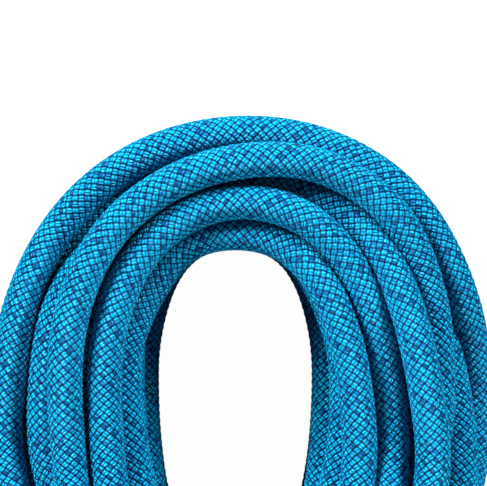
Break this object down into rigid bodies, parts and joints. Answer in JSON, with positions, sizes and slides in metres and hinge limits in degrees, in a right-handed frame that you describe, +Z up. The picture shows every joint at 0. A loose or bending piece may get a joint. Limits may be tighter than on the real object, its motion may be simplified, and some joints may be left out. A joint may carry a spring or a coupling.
{
  "type": "dynamic climbing rope",
  "caption": "Dynamic kernmantle climbing rope with a braided sheath, wound into a flat hank that is bound at the waist by its own end.",
  "frame": {"origin": "on the ground, under the middle of the hank", "axes": "+Z up from the ground the hank lies on, +Y along the hank towards its upper arch, +X to the right of it"},
  "size_m": [0.148, 0.5, 0.0705],
  "materials": {
    "sheath_yarn": "braided polyamide, satin",
    "core_yarn": "cabled polyamide, matte",
    "marker_tape": "matte film",
    "fused_tip": "melted and solidified",
    "end_sleeve": "satin heat-shrunk film"
  },
  "bodies": {
    "root": {"end_a_core_strand_01": "core_yarn", "end_a_core_strand_02": "core_yarn", "end_a_core_strand_03": "core_yarn", "end_a_core_strand_04": "core_yarn", "end_a_core_strand_05": "core_yarn", "end_a_core_strand_06": "core_yarn", "end_a_core_strand_07": "core_yarn", "end_a_core_strand_08": "core_yarn", "end_a_core_strand_09": "core_yarn", "end_a_core_strand_10": "core_yarn", "end_a_core_strand_11": "core_yarn", "end_a_core_strand_12": "core_yarn", "end_a_fused_tip": "fused_tip", "end_a_marker_tape": "marker_tape", "end_a_sheath": "sheath_yarn", "end_a_sleeve": "end_sleeve", "end_b_core_strand_01": "core_yarn", "end_b_core_strand_02": "core_yarn", "end_b_core_strand_03": "core_yarn", "end_b_core_strand_04": "core_yarn", "end_b_core_strand_05": "core_yarn", "end_b_core_strand_06": "core_yarn", "end_b_core_strand_07": "core_yarn", "end_b_core_strand_08": "core_yarn", "end_b_core_strand_09": "core_yarn", "end_b_core_strand_10": "core_yarn", "end_b_core_strand_11": "core_yarn", "end_b_core_strand_12": "core_yarn", "end_b_fused_tip": "fused_tip", "end_b_marker_tape": "marker_tape", "end_b_sheath": "sheath_yarn", "end_b_sleeve": "end_sleeve", "rope_hank": "sheath_yarn", "tail_a": "sheath_yarn", "tail_b": "sheath_yarn", "waist_wraps": "sheath_yarn"}
  },
  "joints": []
}
